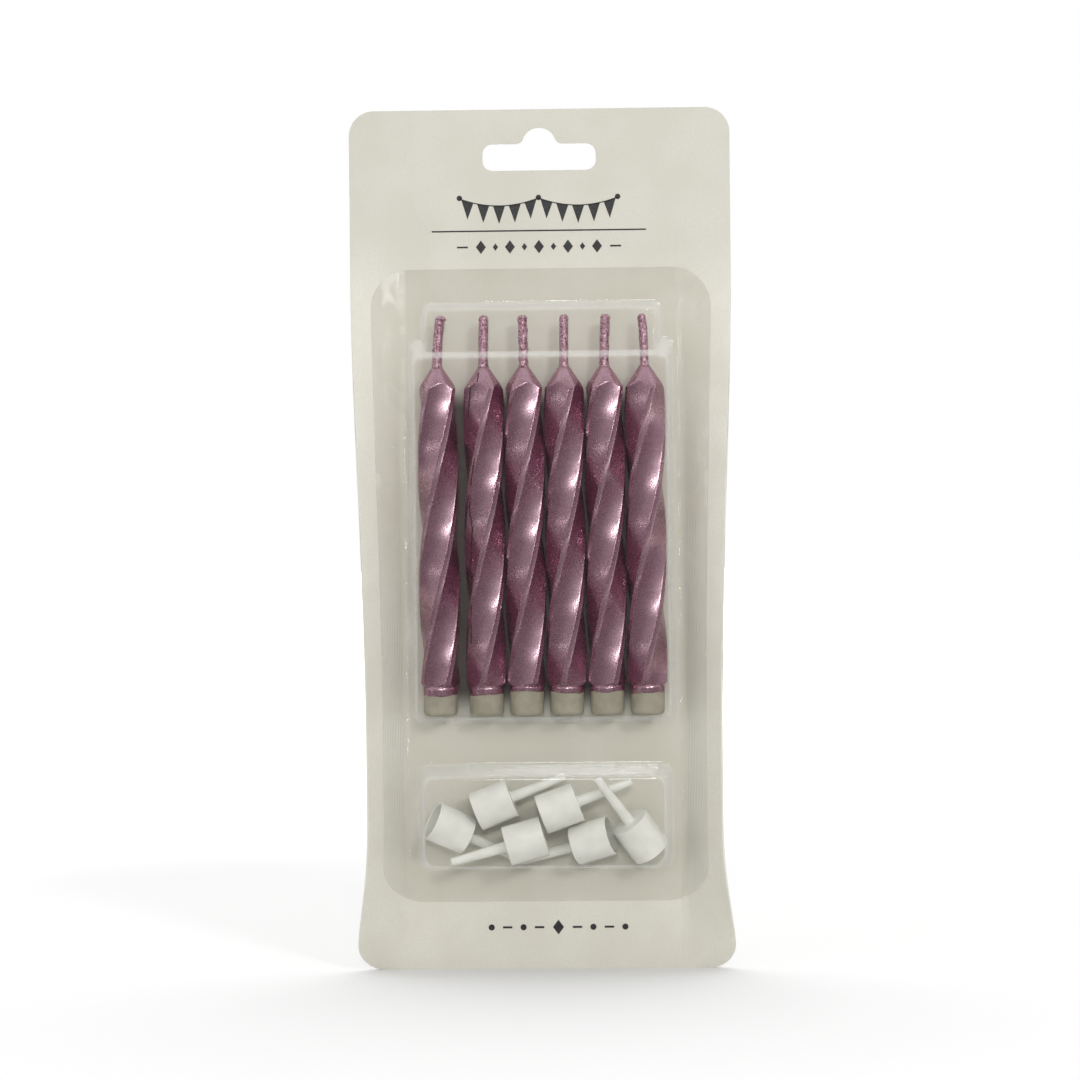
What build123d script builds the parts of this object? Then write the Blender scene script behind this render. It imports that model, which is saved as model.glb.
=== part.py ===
"""Carded blister pack of twisted birthday candles with push-in holders.

The pack hangs upright: X runs across the card, Z is up and the front faces -Y.
The origin is the top of the hang slot, on the back face of the card.
All sizes are in millimetres, all angles in degrees.
"""
import os
from math import ceil, cos, radians, sin, sqrt

from build123d import *

# Candle: a twisted square shaft between a cone and a round foot
candle_count = 6
ridge_diameter = 7.9
face_width = 6.3
twist_length = 59.0
twist_lead = 98.0
section_turn = 15.0
ridge_starts = (24.0, -12.0)
cone_height = 4.2
cone_tip_rim = 0.1
foot_diameter = 6.8
foot_height = 6.0
foot_round = 0.9
foot_bevel = 0.3
ridge_end_slope = 1.0

# Wick: one yarn through the whole candle, each bending its own way above it
wick_diameter = 2.0
wick_standing = 10.4
wick_bends = (9.0, 2.0, -2.0, 1.5, 4.0, -6.0)
wick_tip_round = 0.4

# Candle row: the first candle lies a little apart from the others
candle_pitch = 8.0
first_candle_gap = 1.2

# Holder: a cup for the candle foot on a tapered spike
holder_fit = 0.1
cup_wall = 0.5
cup_length = 7.8
cup_floor = 1.4
cup_edge_round = 0.2
mouth_bevel = 0.15
spike_length = 11.4
spike_root_diameter = 2.3
spike_tip_diameter = 1.6
spike_root_round = 0.4
spike_tip_bevel = 0.2

# Holder heap: places of the cups as multiples of the heap pitch, with the turn
# of the spike in the plane of the card and its tilt towards the viewer
heap_end_gap = 0.2
spike_pitches = 1.425
cup_and_spike_pitches = 0.644
heap_places = (
    # across, up, out, turn, tilt
    (-2.37, -0.11, 0.62, -26.0, -14.0),
    (-1.27, 0.47, 0.61, 21.5, 1.5),
    (-0.49, -0.42, 0.88, 195.5, 1.0),
    (0.36, 0.38, 0.79, 20.0, -1.0),
    (1.18, -0.44, 0.60, 197.0, -11.0),
    (2.36, -0.34, 0.70, 125.5, 15.5),
)

# Clearances
card_gap = 0.15
front_gap = 0.25
side_gap = 0.35
foot_gap = 0.1
candle_travel = 0.8
wick_end_gap = 0.15
heap_gap = 0.12

# Blister: clear sheet drawn into two pockets, sealed to the card all round
film = 0.3
pocket_edge_round = 0.8
root_round = 0.4
pocket_corner = 1.8
holder_pocket_corner = 2.6
candle_pocket_flare = 1.2
wick_pocket_flare = 1.0
wick_pocket_inset = 2.2
wick_front_gap = 0.6
shoulder_drop = 8.4
shoulder_slope = 0.45
wick_end_slope = 0.25
holder_side_slope = 0.15
holder_end_slope = 0.13
flange_corner = 8.0
side_seal = 7.6
top_seal = 6.6
middle_seal = 8.4
bottom_seal = 6.5
seal_coat = 0.03

# Curl: card and flange are bent forward beside the pockets, most of all half way down
curl_angle = 46.0
curl_rise = 100.0
curl_fade = 28.0
curl_above_flange = 12.0
curl_blend = 8.0
curl_step = 9.0
least_curl = 0.05
fold_length = 2.0
fold_gap = 0.1
corner_overlap = 0.05

# Card and its hang slot
card_thickness = 0.5
card_corner = 5.0
card_side_margin = 4.0
card_foot_margin = 13.6
slot_drop = 3.7
header_height = 28.1
slot_width = 22.6
slot_height = 5.3
slot_end_round = 2.0
hump_diameter = 6.8
hump_rise = 3.2
hump_blend = 1.5

# Planes that the pack is built up from, each facing the viewer
card_back = Plane.XZ
card_front = card_back.offset(card_thickness)
blister_back = card_front.offset(seal_coat)

# Heights of the candle row, worked down from the hang slot
wick_pocket_top = -header_height - top_seal
wick_room = card_gap + ridge_diameter / 2 + wick_diameter / 2 + wick_front_gap
wick_pocket_depth = wick_room + film
wick_front_top = wick_pocket_top - wick_end_slope * wick_pocket_depth
wick_top = wick_front_top - film - wick_end_gap - candle_travel
cone_top = wick_top - wick_standing
twist_bottom = cone_top - cone_height - twist_length
candle_bottom = twist_bottom - foot_height
candle_depth = card_gap + ridge_diameter / 2

# Candle places across the card
row_span = (candle_count - 1) * candle_pitch + first_candle_gap
candle_xs = [-row_span / 2]
for number in range(1, candle_count):
    candle_xs.append(-row_span / 2 + first_candle_gap + number * candle_pitch)

# Candle pocket round the row
candle_pocket_depth = candle_depth + ridge_diameter / 2 + front_gap + film
candle_front_width = row_span + ridge_diameter + 2 * (side_gap + film)
candle_front_top = wick_top - shoulder_drop
candle_base_top = candle_front_top + shoulder_slope * candle_pocket_depth
candle_front_bottom = candle_bottom - foot_gap - film
candle_base_bottom = candle_front_bottom - candle_pocket_flare
wick_front_width = candle_front_width - 2 * wick_pocket_inset

# Holder sizes that follow the candle foot, and the pitch of the heap
bore_radius = foot_diameter / 2 + holder_fit
cup_radius = bore_radius + cup_wall
spike_root_radius = spike_root_diameter / 2
spike_tip_radius = spike_tip_diameter / 2
heap_pitch = max(
    2 * cup_radius,
    cup_length + heap_end_gap,
    spike_length / spike_pitches,
    (cup_radius + spike_root_radius) / cup_and_spike_pitches,
)


def holder_axis(turn, tilt):
    """Direction from the cup to the spike: turn in the card's plane, tilt out of it."""
    flat = cos(radians(tilt))
    return Vector(flat * cos(radians(turn)), -sin(radians(tilt)), flat * sin(radians(turn)))


def holder_plane(place, heap_height):
    """Plane through one holder's axis: its origin is the cup's middle, its y the axis."""
    across, up, out, turn, tilt = place
    middle = Vector(
        across * heap_pitch,
        -card_thickness - out * heap_pitch,
        heap_height + up * heap_pitch,
    )
    axis = holder_axis(turn, tilt)
    radial = axis.cross(Vector(0, 1, 0)).normalized()
    return Plane(origin=middle, x_dir=radial, z_dir=radial.cross(axis))


def heap_reach(direction):
    """How far the heap reaches along a direction, with the heap's middle at height 0."""
    furthest = []
    for place in heap_places:
        plane = holder_plane(place, 0)
        along = plane.y_dir.dot(direction)
        sideways = sqrt(max(direction.length**2 - along**2, 0))
        cup = abs(along) * cup_length / 2 + sideways * cup_radius
        spike = along * (cup_length / 2 + spike_length) + sideways * spike_tip_radius
        furthest.append(plane.origin.dot(direction) + max(cup, spike))
    return max(furthest)


# Holder pocket, drawn round the heap with sloping walls
out_of_card = Vector(0, -1, 0)
holder_depth = heap_reach(out_of_card) - card_thickness + heap_gap + film
side_lean = out_of_card * holder_side_slope
end_lean = out_of_card * holder_end_slope
side_start = card_thickness * holder_side_slope
end_start = card_thickness * holder_end_slope
heap_right = heap_reach(Vector(1, 0, 0) + side_lean) - side_start
heap_left = heap_reach(Vector(-1, 0, 0) + side_lean) - side_start
heap_up = heap_reach(Vector(0, 0, 1) + end_lean) - end_start
heap_down = heap_reach(Vector(0, 0, -1) + end_lean) - end_start
holder_base_width = 2 * (max(heap_right, heap_left) + heap_gap + film)
holder_base_top = candle_base_bottom - middle_seal
heap_height = holder_base_top - film - heap_gap - heap_up
holder_base_bottom = heap_height - heap_down - heap_gap - film
holder_front_width = holder_base_width - 2 * holder_side_slope * holder_depth
holder_front_top = holder_base_top - holder_end_slope * holder_depth
holder_front_bottom = holder_base_bottom + holder_end_slope * holder_depth

# Flange and card round the pockets
candle_base_width = candle_front_width + 2 * candle_pocket_flare
flange_width = max(candle_base_width, holder_base_width) + 2 * side_seal
flange_top = -header_height
flange_bottom = holder_base_bottom - bottom_seal
card_width = flange_width + 2 * card_side_margin
card_top = slot_drop
card_bottom = flange_bottom - card_foot_margin

# The flat middle of card and flange ends just beside the pockets
fold_start = max(candle_base_width, holder_base_width) / 2 + root_round + fold_gap
curl_top = flange_top + curl_above_flange


def eased(distance, length):
    """Rises from 0 to 1 over a length and levels off at its end."""
    share = min(max(distance / length, 0), 1)
    return share * (2 - share)


def curl(level):
    """Angle of the side bands at a height: none in the header and at the foot of the card."""
    below = max(curl_top - level, 0)
    blended = below**2 / (below + curl_blend)
    angle = curl_angle * eased(blended, curl_rise) * eased(level - card_bottom, curl_fade)
    return max(angle, least_curl)


def curl_reach(half_width, level):
    """How far from the middle a sheet of that half width ends at a height, once it is curled."""
    angle = radians(curl(level))
    straight = half_width - fold_start - fold_length
    return fold_start + fold_length / angle * sin(angle) + straight * cos(angle)


def side_band(half_width, back, front):
    """Curled right-hand band of a sheet; back and front are distances out of the card's front."""
    steps = ceil((curl_top - card_bottom) / curl_step)
    with BuildPart() as band:
        for step in range(steps + 1):
            level = curl_top + (card_bottom - curl_top) * step / steps
            angle = curl(level)
            fold_radius = fold_length / radians(angle)
            straight = half_width - fold_start - fold_length
            with BuildSketch(Plane.XY.offset(level)):
                with BuildLine():
                    faces = []
                    for face in (back, front):
                        root = (fold_start, -card_thickness - face)
                        fold = JernArc(root, (1, 0), fold_radius - face, -angle)
                        faces.append((fold, Line(fold @ 1, fold @ 1 + straight * (fold % 1))))
                    (back_fold, back_band), (front_fold, front_band) = faces
                    Line(back_fold @ 0, front_fold @ 0)
                    Line(back_band @ 1, front_band @ 1)
                make_face()
        loft()
    return band.part


def corner_blocks(half_width, ends, corner):
    """What is cut away beyond a curled sheet's rounded corners; an end is a height and its way inwards."""
    with BuildPart() as blocks:
        with BuildSketch(card_back):
            for end, inwards in ends:
                level = end + inwards * corner
                edge = curl_reach(half_width, level) + corner_overlap
                with BuildLine():
                    Polyline(
                        (edge, level),
                        (edge + corner, level),
                        (edge + corner, end - inwards * corner),
                        (edge - corner, end - inwards * corner),
                        (edge - corner, end),
                    )
                    RadiusArc((edge - corner, end), (edge, level), -inwards * corner)
                make_face()
            mirror(about=Plane.YZ)
        extrude(amount=card_width, both=True)
    return blocks.part


def pocket_block(base, front, depth, corner, edge_round, inset):
    """Drafted block with a rounded front; base and front are (width, top, bottom)."""
    with BuildPart() as block:
        levels = ((base, 0), (front, depth - inset))
        for (width, top, bottom), level in levels:
            with BuildSketch(blister_back.offset(level)):
                with Locations((0, (top + bottom) / 2)):
                    RectangleRounded(width - 2 * inset, top - bottom - 2 * inset, corner - inset)
        loft(ruled=True)
        fillet(block.faces().sort_by(Axis.Y)[0].edges(), edge_round - inset)
    return block.part


def pocket_blocks(inset):
    """The wick, candle and holder pockets, with every wall moved inwards by the inset."""
    wick_base = (wick_front_width + 2 * wick_pocket_flare, wick_pocket_top, twist_bottom)
    wick_front = (wick_front_width, wick_front_top, twist_bottom)
    candle_base = (candle_base_width, candle_base_top, candle_base_bottom)
    candle_front = (candle_front_width, candle_front_top, candle_front_bottom)
    holder_base = (holder_base_width, holder_base_top, holder_base_bottom)
    holder_front = (holder_front_width, holder_front_top, holder_front_bottom)
    return [
        pocket_block(wick_base, wick_front, wick_pocket_depth, pocket_corner, pocket_edge_round, inset),
        pocket_block(
            candle_base, candle_front, candle_pocket_depth, pocket_corner, pocket_edge_round, inset
        ),
        pocket_block(
            holder_base, holder_front, holder_depth, holder_pocket_corner, pocket_edge_round, inset
        ),
    ]


os.makedirs("parts", exist_ok=True)

# Backing card with its hang slot
with BuildPart() as backing_card:
    with BuildSketch(card_back) as flat_card:
        with Locations((0, (card_top + card_bottom) / 2)):
            Rectangle(2 * fold_start, card_top - card_bottom)
        with Locations((0, (card_top + curl_top) / 2)):
            Rectangle(card_width, card_top - curl_top)
        fillet(flat_card.vertices().group_by(Axis.Y)[-1], card_corner)
    extrude(amount=card_thickness)
    card_band = side_band(card_width / 2, -card_thickness, 0)
    add(card_band)
    mirror(card_band, about=Plane.YZ)
    add(corner_blocks(card_width / 2, [(card_bottom, 1)], card_corner), mode=Mode.SUBTRACT)
    with BuildSketch(card_back) as slot:
        with Locations((0, -hump_rise - slot_height / 2)):
            RectangleRounded(slot_width, slot_height, slot_end_round)
        with Locations((0, -hump_diameter / 2)):
            Circle(hump_diameter / 2)
        hump_feet = slot.vertices().filter_by_position(
            Axis.X, -hump_diameter / 2, hump_diameter / 2
        )
        fillet(hump_feet, hump_blend)
    extrude(amount=card_thickness, mode=Mode.SUBTRACT)
backing_card.part.label = "backing_card"
export_step(backing_card.part, "parts/backing_card.step")

# Blister: flange and pockets, hollow behind, with rounded roots where the walls rise
outer_blocks = pocket_blocks(0)
inner_blocks = pocket_blocks(film)
with BuildPart() as flange_band:
    add(side_band(flange_width / 2, seal_coat, seal_coat + film))
    with BuildSketch(card_back):
        with Locations((0, (flange_top + flange_bottom) / 2)):
            Rectangle(card_width, flange_top - flange_bottom)
    extrude(amount=card_width, both=True, mode=Mode.INTERSECT)
with BuildPart() as blister:
    with BuildSketch(blister_back):
        with Locations((0, (flange_top + flange_bottom) / 2)):
            Rectangle(2 * fold_start, flange_top - flange_bottom)
    extrude(amount=film)
    add(outer_blocks)
    flange_front = blister.faces().filter_by(Axis.Y).sort_by(Axis.Y)[-2]
    fillet(flange_front.inner_wires().edges(), root_round)
    add(inner_blocks, mode=Mode.SUBTRACT)
    sealed_back = blister.faces().filter_by(Axis.Y).sort_by(Axis.Y)[-1]
    fillet(sealed_back.inner_wires().edges(), root_round + film)
    add(flange_band.part)
    mirror(flange_band.part, about=Plane.YZ)
    flange_ends = [(flange_top, -1), (flange_bottom, 1)]
    add(corner_blocks(flange_width / 2, flange_ends, flange_corner), mode=Mode.SUBTRACT)
blister.part.label = "blister"
export_step(blister.part, "parts/blister.step")

# Candles and wicks
half_face = face_width / 2
ridge_chamfer = half_face - sqrt((ridge_diameter / 2) ** 2 - half_face**2)
shaft_length = twist_length + cone_height
full_turn = 360 * shaft_length / twist_lead
section_steps = ceil(full_turn / section_turn)
wick_radius = wick_diameter / 2
cone_tip_radius = wick_radius + cone_tip_rim
cone_slope = cone_height / (ridge_diameter / 2 - cone_tip_radius)
cone_apex = foot_height + shaft_length + cone_slope * cone_tip_radius
taper_apex = foot_height - ridge_end_slope * foot_diameter / 2
for number, candle_x in enumerate(candle_xs, start=1):
    foot_centre = (candle_x, -card_thickness - candle_depth, candle_bottom)
    foot_plane = Plane(origin=foot_centre)
    axial_plane = Plane(origin=foot_centre, x_dir=(1, 0, 0), z_dir=(0, -1, 0))
    candle_axis = Axis(foot_centre, (0, 0, 1))
    ridge_start = ridge_starts[(number - 1) % len(ridge_starts)]

    with BuildPart() as candle:
        for step in range(section_steps + 1):
            share = step / section_steps
            level = foot_plane.offset(foot_height + shaft_length * share)
            turn = 45 + ridge_start + full_turn * share
            with BuildSketch(level.rotated((0, 0, turn))) as section:
                Rectangle(face_width, face_width)
                chamfer(section.vertices(), ridge_chamfer)
        loft()
        # The cone above and the tapered ridge ends below, turned round the axis
        with BuildSketch(axial_plane):
            with BuildLine():
                Polyline(
                    (0, taper_apex),
                    (ridge_diameter, taper_apex + ridge_end_slope * ridge_diameter),
                    (ridge_diameter, cone_apex - cone_slope * ridge_diameter),
                    (0, cone_apex),
                    close=True,
                )
            make_face()
        revolve(axis=candle_axis, mode=Mode.INTERSECT)
        # The foot, rounded below and bevelled where the shaft stands on it
        with BuildSketch(axial_plane) as foot:
            with Locations((foot_diameter / 4, foot_height / 2)):
                Rectangle(foot_diameter / 2, foot_height)
            rim = foot.vertices().group_by(Axis.X)[-1].sort_by(Axis.Y)
            fillet(rim[0], foot_round)
            chamfer(rim[-1], foot_bevel)
        revolve(axis=candle_axis)
        with BuildSketch(foot_plane):
            Circle(wick_radius)
        extrude(amount=foot_height + shaft_length, mode=Mode.SUBTRACT)
    candle.part.label = f"candle_{number}"
    export_step(candle.part, f"parts/candle_{number}.step")

    bend = wick_bends[(number - 1) % len(wick_bends)]
    bend_radius = wick_standing / radians(abs(bend))
    with BuildPart() as wick:
        with BuildLine(axial_plane) as run:
            core = Line((0, 0), (0, foot_height + shaft_length))
            JernArc(start=core @ 1, tangent=core % 1, radius=bend_radius, arc_size=-bend)
        with BuildSketch(foot_plane):
            Circle(wick_radius)
        sweep(path=run.wires()[0])
        fillet(wick.faces().sort_by(Axis.Z)[-1].edges(), wick_tip_round)
    wick.part.label = f"wick_{number}"
    export_step(wick.part, f"parts/wick_{number}.step")


def corner_at(sketch, x, y):
    """The corner of a sketch nearest to a point."""
    return sketch.vertices().sort_by_distance((x, y))[0]


# Holders, heaped in the lower pocket
for number, place in enumerate(heap_places, start=1):
    plane = holder_plane(place, heap_height)
    mouth = -cup_length / 2
    back = cup_length / 2
    with BuildPart() as holder:
        with BuildSketch(plane) as profile:
            with BuildLine():
                Polyline(
                    (0, back - cup_floor),
                    (bore_radius, back - cup_floor),
                    (bore_radius, mouth),
                    (cup_radius, mouth),
                    (cup_radius, back),
                    (spike_root_radius, back),
                    (spike_tip_radius, back + spike_length),
                    (0, back + spike_length),
                    close=True,
                )
            make_face()
            fillet(corner_at(profile, cup_radius, back), cup_edge_round)
            fillet(corner_at(profile, cup_radius, mouth), cup_edge_round)
            chamfer(corner_at(profile, bore_radius, mouth), mouth_bevel)
            fillet(corner_at(profile, spike_root_radius, back), spike_root_round)
            chamfer(corner_at(profile, spike_tip_radius, back + spike_length), spike_tip_bevel)
        revolve(axis=Axis(plane.origin, plane.y_dir))
    holder.part.label = f"holder_{number}"
    export_step(holder.part, f"parts/holder_{number}.step")
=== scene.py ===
"""Looks of a carded blister pack with twisted birthday candles and push-in holders.

The pack stands upright: X runs across the card, Z is up and the front faces -Y.
Sizes in this script are millimetres until a mesh is made, which is in metres.
"""
from math import atan2, cos, pi, radians, sin, sqrt

import bmesh
import bpy
import numpy as np
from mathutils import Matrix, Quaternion, Vector, noise
from mathutils.bvhtree import BVHTree

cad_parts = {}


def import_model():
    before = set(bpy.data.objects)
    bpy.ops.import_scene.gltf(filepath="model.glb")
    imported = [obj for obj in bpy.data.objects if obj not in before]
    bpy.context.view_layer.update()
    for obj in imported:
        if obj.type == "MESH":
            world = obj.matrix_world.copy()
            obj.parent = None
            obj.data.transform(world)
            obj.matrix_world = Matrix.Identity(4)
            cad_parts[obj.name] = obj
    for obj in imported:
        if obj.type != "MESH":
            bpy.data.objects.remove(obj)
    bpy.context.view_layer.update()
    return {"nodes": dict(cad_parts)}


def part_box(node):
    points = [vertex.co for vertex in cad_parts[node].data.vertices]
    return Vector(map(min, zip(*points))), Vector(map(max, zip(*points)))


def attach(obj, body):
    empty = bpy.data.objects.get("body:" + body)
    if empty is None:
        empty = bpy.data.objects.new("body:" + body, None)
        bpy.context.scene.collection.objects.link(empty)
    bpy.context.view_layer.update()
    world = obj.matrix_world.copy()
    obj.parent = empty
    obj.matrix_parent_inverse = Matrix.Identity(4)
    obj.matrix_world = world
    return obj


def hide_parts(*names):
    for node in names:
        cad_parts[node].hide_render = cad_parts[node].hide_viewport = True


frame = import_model()

MM = 0.001

# Candle sizes, the same as the solids have
RIDGE_DIAMETER = 7.9
FACE_WIDTH = 6.3
TWIST_LEAD = 98.0
RIDGE_STARTS = (24.0, -12.0)
CONE_HEIGHT = 4.2
CONE_TIP_RADIUS = 1.1
FOOT_RADIUS = 3.4
FOOT_HEIGHT = 6.0
FOOT_ROUND = 0.9
FOOT_BEVEL = 0.3
BORE_RADIUS = 1.0

# Section of the shaft: how sharp its edges are, and beads along both edges of each ridge
SECTION_SHARPNESS = 130.0
RIDGE_BEAD = 0.045
RIDGE_BEAD_ANGLE = 1.5

# Lacquer on the candles: how far it comes down over the foot, and how thick it is
DIP_DROPS = (1.9, 1.8, 1.2, 1.5, 1.3, 1.7)
DIP_WAVE = 0.22
LACQUER_THICKNESS = 0.04

# Waves in the shaft's skin
WOBBLE = 0.012
WOBBLE_LONG = 3.3
WOBBLE_SHORT = 1.9

# Crack in one candle's lacquer: points right of its axis and below its cone's tip
CRACKED_CANDLE = 2
CRACK_LINES = (
    ((-0.9, 1.1), (-1.1, 2.8), (-2.5, 4.0), (-2.7, 6.5), (-3.0, 8.5), (-3.05, 10.2)),
    ((-1.75, 17.9), (-2.25, 20.6), (-2.7, 24.7), (-3.0, 28.0), (-2.7, 30.0), (-2.4, 32.0),
     (-2.9, 40.0), (-2.8, 48.0), (-2.9, 55.0)),
)
CRACK_WIDTH = 0.28
CRACK_JAG = 0.14
CRACK_STEP = 0.3
CRACK_LIFT = 0.02

# Wicks: how far they stand out, how they bend, and each yarn's radius, lumps and head
WICK_STANDING = 10.4
WICK_BENDS = (9.0, 2.0, -2.0, 1.5, 4.0, -6.0)
WICK_RADII = (0.97, 0.97, 0.9, 0.9, 0.95, 0.86)
WICK_ROUGHNESS = (0.05, 0.05, 0.1, 0.015, 0.05, 0.08)
WICK_HEADS = (0.45, 0.0, 0.12, 0.0, 0.15, 0.0)
WICK_RADIUS_IN_BORE = 0.97

# Card: its front face, and how its copy and the film's are shaded
CARD_FRONT = -0.5
MERGE_DISTANCE = 0.0005
SHARP_ANGLE = 32.0
FLAT_ANGLE = 0.2
POCKET_LEVEL = 2.0
FRONT_FACING = 0.9999

# Painted shade on the board between the candles, and a little painted shade greying its header: a range
# runs from none to full
SHADE_SIDES = (21.0, 18.0)
SHADE_TOP = (-52.0, -56.0)
SHADE_BOTTOM = (-117.0, -112.0)
SHADE_SHARE = 0.85
HEADER_SHADE_RANGE = (-40.0, -20.0)
HEADER_PAINTED_SHADE = 0.2

# Film: how clear it is, how much it mirrors and how much painted sheen its rounds and walls take, and its
# knurled seal
FILM_TINT = (0.985, 0.984, 0.98, 1.0)
FILM_MIRROR = 0.035
FILM_MIRROR_MOST = 0.4
FILM_PAINTED_SHEEN_MOST = 0.2
KNURL_PITCH = 0.62
SEAL_INNER = (26.9, 27.4)
SEAL_OUTER = (32.0, 31.2)

# Print on the header: two strings of pennants, a rule and a row of lozenges
PRINT_THICKNESS = 0.02
HEADER_CENTRE = -0.2
SWAG_WIDTH = 15.8
SWAG_LEVEL = -13.9
SWAG_SAG = 1.5
SWAG_FLAGS = 5
STRING_THICKNESS = 0.22
FLAG_HEIGHT = 3.7
FLAG_MARGIN = 0.12
FLAG_TUCK = 0.15
KNOT_RADIUS = 0.55
RULE_HALF_WIDTH = 21.4
RULE_LEVEL = -20.5
RULE_HEIGHT = 0.3
LOZENGE_LEVEL = -23.7
LOZENGE_STEP = 2.9
LOZENGE_HALF_WIDTHS = (1.0, 0.55)
LOZENGE_SLIMNESS = 1.35
DASH_REACH = (14.2, 16.4)
DASH_HEIGHT = 0.35

# Print at the foot: a lozenge between dashes and dots
FOOTER_CENTRE = 2.3
FOOTER_LEVEL = -159.9
FOOTER_STEP = 3.2
FOOTER_OFFSET = 0.6
FOOTER_DASH = (0.95, 0.42)
FOOTER_DOT = 0.62
FOOTER_LOZENGE = (1.1, 1.5)

# Picture: the camera's distance and its lens, which takes in the photograph's frame
IMAGE_WIDTH = 216.0
IMAGE_CENTRE_X = -0.6
IMAGE_CENTRE_Z = -82.3
CAMERA_DISTANCE = 650.0
CAMERA_TURN = 1.5
CAMERA_RISE = 1.0
CAMERA_ROLL = -0.6
SENSOR_WIDTH = 36.0

# Light: the room's levels and the floor's shades
ROOM_LEVELS = (0.34, 0.95)
ROOM_BEHIND = 2.1
ROOM_AT_CAMERA = 0.4
FLOOR_HALF_SIZE = 3000.0
FLOOR_SHADE = 0.74
FLOOR_MIRRORED_SHADE = 0.12
FLOOR_FADE = (240.0, 500.0)

# Lamps: name, turn to the right and rise in degrees, width, height and power
LAMP_DISTANCE = 1800.0
LAMPS = (
    ("front_box", 2, 16, 300, 240, 5.6),
    ("right_box", 29, 25, 240, 260, 5.6),
    ("left_strip", -58, 12, 120, 1000, 1.5),
)


def smooth(low, high, value):
    """0 below low, 1 above high, and an even rise between them."""
    share = np.clip((value - low) / (high - low), 0.0, 1.0)
    return share * share * (3.0 - 2.0 * share)


class Tree:
    """Adds nodes to a shader tree; a socket takes a plain value or another node's output."""

    def __init__(self, owner):
        owner.use_nodes = True
        self.tree = owner.node_tree
        self.tree.nodes.clear()

    def add(self, kind, inputs=None, out=0, **settings):
        node = self.tree.nodes.new(kind)
        for key, value in settings.items():
            setattr(node, key, value)
        for key, value in (inputs or {}).items():
            socket = node.inputs[key]
            if isinstance(value, bpy.types.NodeSocket):
                self.tree.links.new(value, socket)
            else:
                socket.default_value = value
        return node.outputs[out]

    def math(self, operation, first, second=0.0):
        return self.add("ShaderNodeMath", {0: first, 1: second}, operation=operation)

    def ramp(self, value, low, high, start=0.0, end=1.0, soft=True):
        """Maps a value from one range to another, without going past its ends."""
        return self.add(
            "ShaderNodeMapRange",
            {"Value": value, "From Min": low, "From Max": high, "To Min": start, "To Max": end},
            interpolation_type="SMOOTHSTEP" if soft else "LINEAR",
        )

    def span(self, value, ends, start=0.0, end=1.0):
        """Maps a place between two ends in millimetres to another range."""
        low, high = ends
        return self.ramp(value, low * MM, high * MM, start, end)

    def mix(self, share, first, second):
        node = self.tree.nodes.new("ShaderNodeMix")
        node.data_type = "RGBA"
        sockets = [s for s in node.inputs if s.enabled]
        for socket, value in zip(sockets, (share, first, second)):
            if isinstance(value, bpy.types.NodeSocket):
                self.tree.links.new(value, socket)
            else:
                socket.default_value = value
        return [s for s in node.outputs if s.enabled][0]

    def place(self):
        """Positions in the pack's frame, in metres."""
        return self.add("ShaderNodeTexCoord", out="Object")

    def axes(self, vector):
        node = self.tree.nodes.new("ShaderNodeSeparateXYZ")
        self.tree.links.new(vector, node.inputs[0])
        return node.outputs["X"], node.outputs["Y"], node.outputs["Z"]

    def grain(self, vector, size, detail=2.0, rough=0.5, out="Fac"):
        """Noise whose lumps are about that many millimetres across."""
        return self.add(
            "ShaderNodeTexNoise",
            {"Vector": vector, "Scale": 1.0 / (size * MM), "Detail": detail, "Roughness": rough},
            out=out,
        )

    def cells(self, vector, size, out="Color"):
        return self.add(
            "ShaderNodeTexVoronoi", {"Vector": vector, "Scale": 1.0 / (size * MM)}, out=out
        )

    def bump(self, height, depth, strength=1.0, normal=None):
        """Relief of that many millimetres for a height from 0 to 1."""
        inputs = {"Height": height, "Distance": depth * MM, "Strength": strength}
        if normal is not None:
            inputs["Normal"] = normal
        return self.add("ShaderNodeBump", inputs)

    def output(self, shader, kind="ShaderNodeOutputMaterial"):
        node = self.tree.nodes.new(kind)
        self.tree.links.new(shader, node.inputs["Surface"])


def colour(red, green, blue):
    """A display colour from 0 to 255 as the linear colour that a shader takes."""
    linear = []
    for value in (red, green, blue):
        share = value / 255.0
        linear.append(share / 12.92 if share <= 0.04045 else ((share + 0.055) / 1.055) ** 2.4)
    return (*linear, 1.0)


def lacquer_material():
    """A dark magenta body under a pale metallic sheen with fine flakes."""
    material = bpy.data.materials.new("metallic_lacquer")
    t = Tree(material)
    place = t.place()
    flake = t.cells(place, 0.14)
    flake_x, _, flake_z = t.axes(flake)
    sheen = t.grain(place, 2.6, detail=3.0)
    base = t.mix(t.ramp(sheen, 0.3, 0.7), colour(196, 166, 178), colour(204, 174, 186))
    base = t.mix(t.ramp(flake_x, 0.0, 1.0, 0.0, 0.3), base, colour(224, 200, 210))
    rough = t.ramp(flake_z, 0.0, 1.0, 0.24, 0.31)
    waves = t.bump(t.grain(place, 3.2, detail=1.0), 0.02, 0.5)
    grains = t.bump(t.grain(place, 0.16, detail=1.0), 0.005, 0.6, waves)
    metal = t.add("ShaderNodeBsdfPrincipled", {
        "Base Color": base, "Metallic": 1.0, "Roughness": rough, "Normal": grains,
        "Coat Weight": 0.2, "Coat Roughness": 0.12,
    })
    body = t.add("ShaderNodeBsdfPrincipled", {
        "Base Color": t.mix(t.ramp(sheen, 0.3, 0.7), colour(112, 30, 70), colour(122, 38, 78)),
        "Roughness": 0.5, "Specular IOR Level": 0.2, "Normal": waves,
    })
    t.output(t.add("ShaderNodeMixShader", {0: 0.66, 1: body, 2: metal}))
    return material


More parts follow.
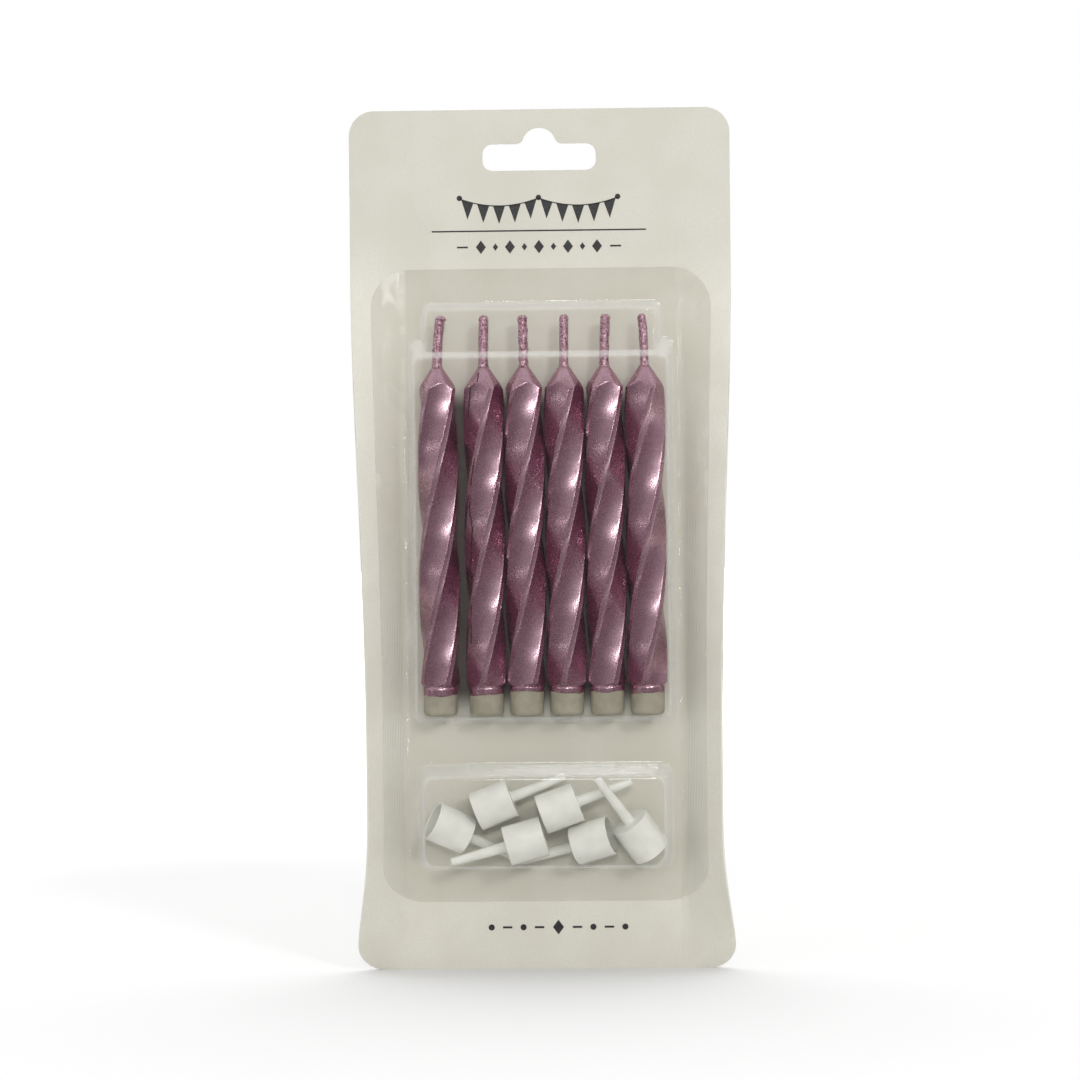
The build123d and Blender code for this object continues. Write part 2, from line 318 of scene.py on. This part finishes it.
def wax_material():
    """Bare translucent candle wax."""
    material = bpy.data.materials.new("bare_wax")
    t = Tree(material)
    place = t.place()
    cloud = t.grain(place, 1.8, detail=3.0)
    base = t.mix(t.ramp(cloud, 0.3, 0.7), colour(150, 145, 127), colour(164, 159, 142))
    relief = t.bump(t.grain(place, 0.5, detail=2.0), 0.02, 0.5)
    t.output(t.add("ShaderNodeBsdfPrincipled", {
        "Base Color": base, "Roughness": 0.42, "Normal": relief,
        "Subsurface Weight": 0.25, "Subsurface Radius": (1.2, 1.1, 0.9), "Subsurface Scale": 0.8 * MM,
    }))
    return material


def wick_material():
    """Yarn soaked in the same lacquer, lumpy, with painted highlights on its lumps and painted shade
    between them.
    """
    material = bpy.data.materials.new("lacquered_yarn")
    t = Tree(material)
    place = t.place()
    lumps = t.grain(place, 0.32, detail=3.0, rough=0.65)
    # Painted highlight and painted shade: the lacquer is paler on the lumps' tops and darker in the
    # hollows between them
    base = t.mix(t.ramp(lumps, 0.35, 0.62), colour(122, 62, 88), colour(228, 192, 206))
    relief = t.bump(lumps, 0.16, 0.9)
    t.output(t.add("ShaderNodeBsdfPrincipled", {
        "Base Color": base, "Metallic": 0.85, "Roughness": 0.3, "Normal": relief,
    }))
    return material


def card_material():
    """Coated off-white board: fibres, specks, painted shade between the candles and on the header, a plain
    back and raw edges.
    """
    material = bpy.data.materials.new("coated_board")
    t = Tree(material)
    place = t.place()
    fibre = t.grain(place, 0.45, detail=3.0, rough=0.6)
    cloud = t.grain(place, 14.0, detail=2.0)
    front = t.mix(t.ramp(fibre, 0.3, 0.7), colour(211, 208, 196), colour(217, 214, 203))
    front = t.mix(t.ramp(cloud, 0.35, 0.65, 0.0, 0.5), front, colour(205, 203, 189))
    spot = t.add("ShaderNodeTexVoronoi", {"Vector": place, "Scale": 1.0 / (7.0 * MM)}, out="Distance")
    chosen, tint, _ = t.axes(t.cells(place, 7.0))
    ink = t.math("MULTIPLY", t.ramp(spot, 0.03, 0.018), t.ramp(chosen, 0.86, 0.87))
    front = t.mix(ink, front, t.mix(tint, colour(70, 60, 90), colour(96, 48, 66)))
    across, _, up = t.axes(place)
    # Painted shade: the board behind and between the candles is darkened toward a deep red-brown
    shade = t.span(t.math("ABSOLUTE", across), SHADE_SIDES, 0.0, SHADE_SHARE)
    shade = t.math("MULTIPLY", shade, t.span(up, SHADE_TOP))
    shade = t.math("MULTIPLY", shade, t.span(up, SHADE_BOTTOM))
    front = t.mix(shade, front, colour(58, 24, 28))
    # Painted shade: the header's board is greyed a little, toning down the stronger light it gets
    front = t.mix(t.span(up, HEADER_SHADE_RANGE, 0.0, HEADER_PAINTED_SHADE), front, colour(140, 137, 128))
    facing = t.axes(t.add("ShaderNodeNewGeometry", out="Normal"))[1]
    back = t.mix(t.ramp(fibre, 0.3, 0.7), colour(190, 187, 178), colour(202, 199, 190))
    cut = t.ramp(t.grain(place, 0.2, detail=3.0), 0.35, 0.65)
    raw = t.mix(cut, colour(186, 183, 168), colour(206, 203, 190))
    base = t.mix(t.ramp(facing, -0.45, -0.35), front, raw)
    base = t.mix(t.ramp(facing, 0.35, 0.45), base, back)
    relief = t.bump(fibre, 0.012, 0.6, t.bump(t.grain(place, 9.0, detail=1.0), 0.12, 0.5))
    t.output(t.add("ShaderNodeBsdfPrincipled", {
        "Base Color": base, "Roughness": t.ramp(fibre, 0.2, 0.8, 0.42, 0.55), "Normal": relief,
        "Specular IOR Level": 0.4,
    }))
    return material


def film_material():
    """Clear sheet with a knurled seal: it mirrors the lamps, and its rounds and walls get a painted pale
    sheen where they turn from the eye.
    """
    material = bpy.data.materials.new("clear_sheet")
    t = Tree(material)
    place = t.place()
    x, _, z = t.axes(place)
    knurl_step = 2 * pi / (KNURL_PITCH * MM)
    rising = t.math("SINE", t.math("MULTIPLY", t.math("ADD", x, z), knurl_step))
    falling = t.math("SINE", t.math("MULTIPLY", t.math("SUBTRACT", x, z), knurl_step))
    diamonds = t.math("MULTIPLY", rising, falling)
    side = t.math("ABSOLUTE", x)
    band = t.math("MULTIPLY", t.span(side, SEAL_INNER), t.span(side, SEAL_OUTER))
    patch = t.ramp(t.grain(place, 5.0, detail=2.0), 0.4, 0.6, 0.25, 1.0)
    knurl = t.math("MULTIPLY", t.math("MULTIPLY", diamonds, band), patch)
    waves = t.bump(t.grain(place, 7.0, detail=2.0), 0.05, 0.6)
    relief = t.bump(knurl, 0.03, 0.8, waves)
    clear = t.add("ShaderNodeBsdfTransparent", {"Color": FILM_TINT})
    gloss = t.add("ShaderNodeBsdfGlossy", {"Roughness": 0.06, "Normal": relief})
    facing = t.add("ShaderNodeLayerWeight", {"Blend": 0.5, "Normal": relief}, out="Facing")
    share = t.math("ADD", FILM_MIRROR, t.math("MULTIPLY", 1.0 - FILM_MIRROR, t.math("POWER", facing, 5.0)))
    lit_through = t.add("ShaderNodeLightPath", out="Is Shadow Ray")
    unlit = t.math("SUBTRACT", 1.0, lit_through)
    share = t.math("MULTIPLY", t.math("MINIMUM", share, FILM_MIRROR_MOST), unlit)
    sheet = t.add("ShaderNodeMixShader", {0: share, 1: clear, 2: gloss})
    # Painted highlight: a pale diffuse mixed in where the sheet turns away from the eye, lightening its
    # rounds and walls
    pale = t.add("ShaderNodeBsdfDiffuse", {"Color": (0.9, 0.9, 0.88, 1.0), "Normal": relief})
    turned = t.math("MULTIPLY", t.ramp(facing, 0.12, 0.5, 0.0, FILM_PAINTED_SHEEN_MOST), unlit)
    t.output(t.add("ShaderNodeMixShader", {0: turned, 1: sheet, 2: pale}))
    return material


def holder_material():
    """Glossy white moulded plastic."""
    material = bpy.data.materials.new("white_plastic")
    t = Tree(material)
    place = t.place()
    cloud = t.grain(place, 3.0, detail=2.0)
    base = t.mix(t.ramp(cloud, 0.3, 0.7), colour(226, 226, 219), colour(234, 234, 227))
    relief = t.bump(t.grain(place, 0.9, detail=2.0), 0.02, 0.35)
    t.output(t.add("ShaderNodeBsdfPrincipled", {
        "Base Color": base, "Roughness": t.ramp(cloud, 0.2, 0.8, 0.08, 0.13), "Normal": relief,
        "Subsurface Weight": 0.12, "Subsurface Radius": (1.0, 1.0, 0.9), "Subsurface Scale": 0.5 * MM,
    }))
    return material


def ink_material():
    """Black print that lies a little uneven on the board."""
    material = bpy.data.materials.new("black_ink")
    t = Tree(material)
    fibre = t.grain(t.place(), 0.3, detail=3.0)
    base = t.mix(t.ramp(fibre, 0.3, 0.75), colour(26, 25, 26), colour(52, 50, 50))
    t.output(t.add("ShaderNodeBsdfPrincipled", {"Base Color": base, "Roughness": 0.5}))
    return material


def crack_material():
    """The dark open edge of split lacquer."""
    material = bpy.data.materials.new("split_lacquer")
    t = Tree(material)
    lumps = t.grain(t.place(), 0.4, detail=2.0)
    base = t.mix(t.ramp(lumps, 0.35, 0.7), colour(36, 14, 24), colour(74, 36, 50))
    t.output(t.add("ShaderNodeBsdfPrincipled", {"Base Color": base, "Roughness": 0.6}))
    return material


def new_object(name, mesh, *materials):
    for material in materials:
        mesh.materials.append(material)
    piece = bpy.data.objects.new(name, mesh)
    bpy.context.scene.collection.objects.link(piece)
    return piece


def dress(node, material):
    """Gives a solid of the frame its material."""
    solid = frame["nodes"][node]
    solid.data.materials.clear()
    solid.data.materials.append(material)


def smooth_copy(node, name, material):
    """A copy of a sheet solid with even shading over its flat and curled faces."""
    work = bmesh.new()
    work.from_mesh(frame["nodes"][node].data)
    bmesh.ops.remove_doubles(work, verts=work.verts, dist=MERGE_DISTANCE * MM)
    bmesh.ops.dissolve_limit(
        work, angle_limit=radians(FLAT_ANGLE), verts=work.verts, edges=work.edges
    )
    mesh = bpy.data.meshes.new(name)
    work.to_mesh(mesh)
    work.free()
    mesh.polygons.foreach_set("use_smooth", [True] * len(mesh.polygons))
    mesh.set_sharp_from_angle(angle=radians(SHARP_ANGLE))
    borders = {tuple(sorted(edge.vertices)): edge for edge in mesh.edges}
    for face in mesh.polygons:
        if abs(face.normal.y) > FRONT_FACING and abs(face.center.y) > POCKET_LEVEL * MM:
            for key in face.edge_keys:
                borders[tuple(sorted(key))].use_edge_sharp = True
    piece = new_object(name, mesh, material)
    even = piece.modifiers.new("even_normals", "WEIGHTED_NORMAL")
    even.keep_sharp = True
    even.weight = 100
    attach(piece, "pack")
    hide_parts(node)


def ring_mesh(name, rings, closed):
    """Skin over rings of points, in millimetres; closed joins the last ring to the first."""
    rows, columns, _ = rings.shape
    faces = []
    for row in range(rows if closed else rows - 1):
        for column in range(columns):
            beside = (column + 1) % columns
            above = (row + 1) % rows
            faces.append((row * columns + column, row * columns + beside,
                          above * columns + beside, above * columns + column))
    if not closed:
        faces.append(tuple(reversed(range(columns))))
        faces.append(tuple(range((rows - 1) * columns, rows * columns)))
    mesh = bpy.data.meshes.new(name)
    mesh.from_pydata((rings.reshape(-1, 3) * MM).tolist(), [], faces)
    mesh.polygons.foreach_set("use_smooth", [True] * len(faces))
    return mesh


def ridge_edge():
    """Half the angle that a ridge's flat takes up, in degrees."""
    half_face = FACE_WIDTH / 2
    return 45.0 - np.degrees(atan2(sqrt((RIDGE_DIAMETER / 2) ** 2 - half_face**2), half_face))


def face_columns():
    """Angles round the shaft, in degrees from a ridge, close together at the ridge's two edges."""
    edge = ridge_edge()
    cluster = np.array((-3.6, -2.2, -1.1, 0.0, 1.1, 2.2, 3.6))
    face = np.linspace(edge + 6.5, 90.0 - edge - 6.5, 9)
    quarter = np.concatenate(([0.0], edge + cluster, face, 90.0 - edge - cluster[::-1]))
    return np.concatenate([quarter + 90.0 * turn for turn in range(4)])


def shaft_radius(angle):
    """Radius of the chamfered square section, at angles in degrees from one of its ridges."""
    chamfer_reach = (FACE_WIDTH / 2 + sqrt((RIDGE_DIAMETER / 2) ** 2 - (FACE_WIDTH / 2) ** 2)) / sqrt(2)
    total = np.zeros_like(angle)
    for turn in range(4):
        for middle, reach in ((90.0 * turn, chamfer_reach), (90.0 * turn + 45.0, FACE_WIDTH / 2)):
            total += np.maximum(np.cos(np.radians(angle - middle)) / reach, 0.0) ** SECTION_SHARPNESS
    radius = total ** (-1.0 / SECTION_SHARPNESS)
    edge = ridge_edge()
    for turn in range(4):
        for side in (-edge, edge):
            apart = (angle - 90.0 * turn - side + 180.0) % 360.0 - 180.0
            radius += RIDGE_BEAD * np.exp(-((apart / RIDGE_BEAD_ANGLE) ** 2))
    return radius


def rounded_least(first, second):
    """The smaller of two radii, with the corner between them rounded."""
    total = first**-SECTION_SHARPNESS + second**-SECTION_SHARPNESS
    return total ** (-1.0 / SECTION_SHARPNESS)


def candle_piece(number, lacquer, wax):
    """One candle: twisted shaft, cone and foot in lacquer, and bare wax below the dip line."""
    low, high = (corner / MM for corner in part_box(f"candle_{number}"))
    axis_x, axis_y = (low.x + high.x) / 2, (low.y + high.y) / 2
    bottom, top = low.z, high.z
    twist_bottom = bottom + FOOT_HEIGHT
    dip = twist_bottom - DIP_DROPS[number - 1]
    start = RIDGE_STARTS[(number - 1) % len(RIDGE_STARTS)]
    columns = face_columns()
    cone_slope = CONE_HEIGHT / (RIDGE_DIAMETER / 2 - CONE_TIP_RADIUS)

    foot_arc = np.radians(np.linspace(0, 90, 7))
    heights = np.concatenate((
        bottom + FOOT_ROUND * (1 - np.cos(foot_arc)),
        np.linspace(bottom + 1.3, dip - 0.3, 4),
        (dip - 0.05, dip + 0.05),
        np.linspace(dip + 0.3, twist_bottom - FOOT_BEVEL, 4),
        np.linspace(twist_bottom - FOOT_BEVEL / 2, twist_bottom + 0.9, 14),
        np.linspace(twist_bottom + 1.5, top - CONE_HEIGHT - 0.7, 76),
        np.linspace(top - CONE_HEIGHT - 0.4, top - 2.5, 26),
        np.linspace(top - 2.1, top, 6),
    ))
    z = np.repeat(heights[:, None], len(columns), axis=1)
    rise = np.clip(z - twist_bottom, 0.0, None)
    turned = np.radians(columns[None, :] + start + 360.0 * rise / TWIST_LEAD)

    shaft = shaft_radius(np.repeat(columns[None, :], len(heights), axis=0))
    shaft = rounded_least(shaft, FOOT_RADIUS + 0.02 + rise)
    shaft = rounded_least(shaft, CONE_TIP_RADIUS + (top - z) / cone_slope)
    shaft[z < twist_bottom] = 0.0
    into_round = np.clip(FOOT_ROUND - (z - bottom), 0.0, FOOT_ROUND)
    foot = FOOT_RADIUS - FOOT_ROUND + np.sqrt(FOOT_ROUND**2 - into_round**2)
    foot -= np.clip(z - (twist_bottom - FOOT_BEVEL), 0.0, None)
    radius = np.maximum(foot, shaft)

    phase = 1.7 * number
    wobble = np.sin(z / WOBBLE_LONG + phase) * np.cos(2 * turned + phase)
    wobble += np.sin(z / WOBBLE_SHORT - 2 * phase) * np.sin(3 * turned)
    radius += WOBBLE * wobble * smooth(twist_bottom, twist_bottom + 2.0, z) * smooth(top, top - 2.0, z)
    bare = (z < dip).astype(float)
    radius -= LACQUER_THICKNESS * bare
    near_dip = smooth(2.0, 0.3, np.abs(z - dip)) * (z > bottom + FOOT_ROUND)
    z = z + near_dip * DIP_WAVE * (np.sin(2 * turned + phase) + 0.5 * np.sin(5 * turned + 3 * phase)) / 1.5

    rings = np.stack((axis_x + radius * np.cos(turned), axis_y + radius * np.sin(turned), z), axis=2)
    bore_bottom = rings[0].copy()
    bore_top = rings[-1].copy()
    for bore, level, source in ((bore_bottom, bottom, turned[0]), (bore_top, top, turned[-1])):
        bore[:, 0] = axis_x + BORE_RADIUS * np.cos(source)
        bore[:, 1] = axis_y + BORE_RADIUS * np.sin(source)
        bore[:, 2] = level
    rings = np.concatenate((bore_bottom[None], rings, bore_top[None]))
    mesh = ring_mesh(f"candle_{number}_wax", rings, closed=True)
    piece = new_object(f"twisted_candle_{number}", mesh, lacquer, wax)
    last_bare = int(np.argmax(heights > dip))
    slots = np.zeros(len(mesh.polygons), dtype=int)
    slots[: (last_bare + 1) * len(columns)] = 1
    mesh.polygons.foreach_set("material_index", slots.tolist())
    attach(piece, f"candle_{number}")
    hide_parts(f"candle_{number}")


def lacquer_cracks(material):
    """Thin jagged lines on one candle's front, where its lacquer has split."""
    number = CRACKED_CANDLE
    low, high = (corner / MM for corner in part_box(f"candle_{number}"))
    axis_x = (low.x + high.x) / 2
    candle = bpy.data.objects[f"twisted_candle_{number}"].data
    corners = [vertex.co for vertex in candle.vertices]
    faces = [tuple(face.vertices) for face in candle.polygons]
    skin = BVHTree.FromPolygons(corners, faces)
    for line_number, line in enumerate(CRACK_LINES, start=1):
        across, down = np.array(line).T
        levels = np.arange(down[0], down[-1], CRACK_STEP)
        rings = []
        for level in levels:
            jag = CRACK_JAG * noise.noise(Vector((level * 2.3, 7.0 * line_number, 0.0)))
            middle = axis_x + np.interp(level, down, across) + jag
            front = []
            for side in (-0.5, 0.5):
                start = Vector((middle + side * CRACK_WIDTH, low.y - 1.0, high.z - level)) * MM
                spot, _, _, _ = skin.ray_cast(start, Vector((0.0, 1.0, 0.0)))
                front.append(spot / MM)
            left, right = front
            lift = Vector((0.0, CRACK_LIFT, 0.0))
            rings.append([tuple(p) for p in (left - lift, right - lift, right + lift, left + lift)])
        name = f"lacquer_crack_{line_number}"
        piece = new_object(name, ring_mesh(name, np.array(rings), closed=False), material)
        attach(piece, f"candle_{number}")


def wick_line(number, length):
    """Sideways place, height above the cone and lean of a wick, at a length along it."""
    bend = radians(WICK_BENDS[number - 1])
    lean = bend * np.clip(length, 0.0, None) / WICK_STANDING
    across = WICK_STANDING / bend * (1 - np.cos(lean))
    up = np.where(length > 0, WICK_STANDING / bend * np.sin(lean), length)
    return across, up, lean


def wick_piece(number, yarn):
    """One wick: a rough yarn that runs through the candle and stands out of the cone."""
    low, high = (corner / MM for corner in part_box(f"candle_{number}"))
    axis_x, axis_y = (low.x + high.x) / 2, (low.y + high.y) / 2
    inside = high.z - low.z
    standing = np.linspace(-0.8, WICK_STANDING - 0.1, 74)
    lengths = np.concatenate(((-inside + 0.05, -inside / 2, -2.0), standing))
    columns = np.linspace(0, 2 * pi, 28, endpoint=False)
    across, up, lean = wick_line(number, lengths)
    radius = np.full((len(lengths), len(columns)), WICK_RADII[number - 1])
    rough = WICK_ROUGHNESS[number - 1]
    for row, length in enumerate(lengths):
        if length < -1.0:
            continue
        for column, angle in enumerate(columns):
            spot = Vector((cos(angle) * 1.6, sin(angle) * 1.6, length * 1.5 + 40.0 * number))
            lump = noise.noise(spot) + 0.6 * noise.noise(spot * 2.7)
            strand = 0.5 * cos(3 * angle - length * 1.7)
            radius[row, column] *= 1 + rough * (1.5 * lump + strand)
    tip = smooth(WICK_STANDING - 0.75, WICK_STANDING - 0.1, lengths)[:, None]
    radius *= 1 - 0.45 * tip**2
    head = smooth(WICK_STANDING - 1.3, WICK_STANDING - 0.4, lengths)[:, None]
    radius *= 1 + WICK_HEADS[number - 1] * head * (1 + np.cos(columns)) / 2
    root = smooth(0.9, 0.0, lengths)[:, None] * (lengths > -1.0)[:, None]
    radius += 0.1 * root
    radius = np.minimum(radius, np.where(lengths < -1.0, WICK_RADIUS_IN_BORE, 2 * BORE_RADIUS)[:, None])
    x = axis_x + across[:, None] + radius * np.cos(columns) * np.cos(lean)[:, None]
    y = axis_y + radius * np.sin(columns)
    z = high.z + up[:, None] - radius * np.cos(columns) * np.sin(lean)[:, None]
    rings = np.stack((x, y, z), axis=2)
    piece = new_object(f"yarn_wick_{number}", ring_mesh(f"wick_{number}_yarn", rings, closed=False), yarn)
    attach(piece, f"candle_{number}")
    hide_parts(f"wick_{number}")


def prism_mesh(name, outlines, thickness):
    """Flat shapes printed on the card's front, each an outline of (across, up) points."""
    points, faces = [], []
    for outline in outlines:
        first, count = len(points), len(outline)
        for level in (CARD_FRONT + thickness, CARD_FRONT - thickness):
            points += [(across * MM, level * MM, up * MM) for across, up in outline]
        faces.append(tuple(first + count + step for step in range(count)))
        faces.append(tuple(first + step for step in reversed(range(count))))
        for step in range(count):
            beside = (step + 1) % count
            faces.append((first + step, first + beside, first + count + beside, first + count + step))
    mesh = bpy.data.meshes.new(name)
    mesh.from_pydata(points, [], faces)
    work = bmesh.new()
    work.from_mesh(mesh)
    bmesh.ops.recalc_face_normals(work, faces=work.faces)
    work.to_mesh(mesh)
    work.free()
    return mesh


def bar(left, right, middle, height):
    return [(left, middle - height / 2), (right, middle - height / 2),
            (right, middle + height / 2), (left, middle + height / 2)]


def lozenge(across, up, half_width, half_height):
    return [(across - half_width, up), (across, up - half_height),
            (across + half_width, up), (across, up + half_height)]


def dot(across, up, radius):
    turns = np.linspace(0, 2 * pi, 20, endpoint=False)
    return [(across + radius * cos(turn), up + radius * sin(turn)) for turn in turns]


def swag(left, right, up, sag, flags):
    """A hanging string of pennants between two points."""
    def string(share):
        return left + (right - left) * share, up - 4 * sag * share * (1 - share)

    shapes = []
    steps = np.linspace(0, 1, 25)
    upper = [string(s) for s in steps]
    lower = [(x, z - STRING_THICKNESS) for x, z in reversed(upper)]
    shapes.append(upper + lower)
    for flag in range(flags):
        start, end = string((flag + FLAG_MARGIN) / flags), string((flag + 1 - FLAG_MARGIN) / flags)
        middle = string((flag + 0.5) / flags)
        left_top, right_top = ((x, z - FLAG_TUCK) for x, z in (start, end))
        shapes.append([left_top, (middle[0], middle[1] - FLAG_HEIGHT), right_top])
    return shapes


def print_piece(name, outlines, ink):
    piece = new_object(name, prism_mesh(name, outlines, PRINT_THICKNESS), ink)
    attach(piece, "pack")


def header_print(ink):
    """A plain party ornament: bunting, a thin rule and a row of lozenges."""
    left, right = HEADER_CENTRE - SWAG_WIDTH, HEADER_CENTRE + SWAG_WIDTH
    shapes = swag(left, HEADER_CENTRE, SWAG_LEVEL, SWAG_SAG, SWAG_FLAGS)
    shapes += swag(HEADER_CENTRE, right, SWAG_LEVEL, SWAG_SAG, SWAG_FLAGS)
    shapes += [dot(across, SWAG_LEVEL, KNOT_RADIUS) for across in (left, HEADER_CENTRE, right)]
    shapes.append(bar(
        HEADER_CENTRE - RULE_HALF_WIDTH, HEADER_CENTRE + RULE_HALF_WIDTH, RULE_LEVEL, RULE_HEIGHT
    ))
    for step in range(-4, 5):
        size = LOZENGE_HALF_WIDTHS[step % 2]
        across = HEADER_CENTRE + LOZENGE_STEP * step
        shapes.append(lozenge(across, LOZENGE_LEVEL, size, LOZENGE_SLIMNESS * size))
    near, far = DASH_REACH
    shapes.append(bar(HEADER_CENTRE - far, HEADER_CENTRE - near, LOZENGE_LEVEL, DASH_HEIGHT))
    shapes.append(bar(HEADER_CENTRE + near, HEADER_CENTRE + far, LOZENGE_LEVEL, DASH_HEIGHT))
    print_piece("header_ornament", shapes, ink)


def footer_print(ink):
    """A plain row of dots and dashes below the holders."""
    shapes = [lozenge(FOOTER_CENTRE, FOOTER_LEVEL, *FOOTER_LOZENGE)]
    half_dash, dash_height = FOOTER_DASH
    for side in (-1, 1):
        for step in range(1, 5):
            place = FOOTER_CENTRE + side * (FOOTER_OFFSET + FOOTER_STEP * step)
            if step % 2:
                shapes.append(bar(place - half_dash, place + half_dash, FOOTER_LEVEL, dash_height))
            else:
                shapes.append(dot(place, FOOTER_LEVEL, FOOTER_DOT))
    print_piece("footer_ornament", shapes, ink)


def floor():
    """A wide pale floor that shows white and keeps the shadow."""
    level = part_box("backing_card")[0].z
    size = FLOOR_HALF_SIZE * MM
    mesh = bpy.data.meshes.new("floor")
    corners = [(-size, -size, level), (size, -size, level), (size, size, level), (-size, size, level)]
    mesh.from_pydata(corners, [], [(0, 1, 2, 3)])
    material = bpy.data.materials.new("pale_floor")
    t = Tree(material)
    seen = t.add("ShaderNodeLightPath", out="Is Camera Ray")
    mirrored = t.add("ShaderNodeLightPath", out="Is Glossy Ray")
    through = t.add("ShaderNodeLightPath", out="Is Transmission Ray")
    shown = t.math("MAXIMUM", t.math("MAXIMUM", seen, mirrored), through)
    _, depth, _ = t.axes(t.place())
    before = t.ramp(depth, 0.05, -0.05)
    dim = t.math("MULTIPLY", mirrored, before)
    plain, darker = ((shade, shade, shade, 1.0) for shade in (FLOOR_SHADE, FLOOR_MIRRORED_SHADE))
    pale = t.add("ShaderNodeBsdfDiffuse", {"Color": t.mix(dim, plain, darker)})
    shown = t.math("MULTIPLY", shown, t.math("SUBTRACT", 1.0, dim))
    far = t.add("ShaderNodeVectorMath", {0: t.place()}, out="Value", operation="LENGTH")
    strength = t.math("MULTIPLY", shown, t.span(far, FLOOR_FADE))
    glow = t.add("ShaderNodeEmission", {"Color": (1, 1, 1, 1), "Strength": strength})
    t.output(t.add("ShaderNodeAddShader", {0: pale, 1: glow}))
    new_object("floor", mesh, material)


def world():
    """White all round for the eye, and a dimmer room for what lights the pack from the front."""
    scene_world = bpy.data.worlds.new("studio")
    bpy.context.scene.world = scene_world
    t = Tree(scene_world)
    ray = t.tree.nodes.new("ShaderNodeLightPath")
    _, depth, up = t.axes(t.add("ShaderNodeTexCoord", out="Generated"))
    behind = t.ramp(depth, -0.15, 0.35)
    room = t.ramp(up, -0.3, 0.95, *ROOM_LEVELS)
    room = t.math("MULTIPLY", room, t.ramp(depth, -0.2, 0.4, 1.0, ROOM_BEHIND))
    camera_side = t.ramp(depth, -0.985, -0.86, ROOM_AT_CAMERA, 1.0)
    room = t.math("MULTIPLY", room, camera_side)
    mirrored = t.math("MULTIPLY", ray.outputs["Is Glossy Ray"], behind)
    shown = t.math("MAXIMUM", ray.outputs["Is Camera Ray"], mirrored)
    shown = t.math("MAXIMUM", shown, ray.outputs["Is Transmission Ray"])
    unseen = t.math("MULTIPLY", t.math("SUBTRACT", 1.0, shown), room)
    level = t.math("ADD", shown, unseen)
    sky = t.add("ShaderNodeBackground", {"Color": (1, 1, 1, 1), "Strength": level})
    t.output(sky, "ShaderNodeOutputWorld")


def direction(turn, rise):
    """Way out of the card's front, turned to the right and raised by degrees."""
    turn, rise = radians(turn), radians(rise)
    return Vector((sin(turn) * cos(rise), -cos(turn) * cos(rise), sin(rise)))


def lamp(name, turn, rise, width, height, power):
    """A soft box that looks at the pack from a turn to the right and a rise above the level."""
    light = bpy.data.lights.new(name, "AREA")
    light.shape = "RECTANGLE"
    light.size, light.size_y = width * MM, height * MM
    light.energy = power
    middle = Vector((0.0, 0.0, IMAGE_CENTRE_Z))
    way = direction(turn, rise)
    holder = bpy.data.objects.new(name, light)
    holder.location = (middle + way * LAMP_DISTANCE) * MM
    holder.rotation_euler = way.to_track_quat("Z", "Y").to_euler()
    bpy.context.scene.collection.objects.link(holder)


def lights():
    for settings in LAMPS:
        lamp(*settings)


def camera():
    """The photograph's view: nearly square on to the card, from a short way off."""
    lens = bpy.data.cameras.new("camera")
    lens.sensor_width = SENSOR_WIDTH
    lens.lens = SENSOR_WIDTH * CAMERA_DISTANCE / IMAGE_WIDTH
    lens.clip_start = 0.01
    aim = Vector((IMAGE_CENTRE_X, CARD_FRONT, IMAGE_CENTRE_Z))
    way = direction(CAMERA_TURN, CAMERA_RISE)
    eye = bpy.data.objects.new("camera", lens)
    eye.location = (aim + way * CAMERA_DISTANCE) * MM
    eye.rotation_mode = "QUATERNION"
    roll = Quaternion((0, 0, 1), radians(CAMERA_ROLL))
    eye.rotation_quaternion = way.to_track_quat("Z", "Y") @ roll
    bpy.context.scene.collection.objects.link(eye)
    bpy.context.scene.camera = eye


lacquer = lacquer_material()
wax = wax_material()
yarn = wick_material()
for candle_number in range(1, 7):
    candle_piece(candle_number, lacquer, wax)
    wick_piece(candle_number, yarn)

lacquer_cracks(crack_material())

smooth_copy("backing_card", "printed_card", card_material())
smooth_copy("blister", "clear_blister", film_material())
plastic = holder_material()
for holder_number in range(1, 7):
    dress(f"holder_{holder_number}", plastic)

ink = ink_material()
header_print(ink)
footer_print(ink)

floor()
world()
lights()
camera()
bpy.context.scene.view_settings.view_transform = "Standard"
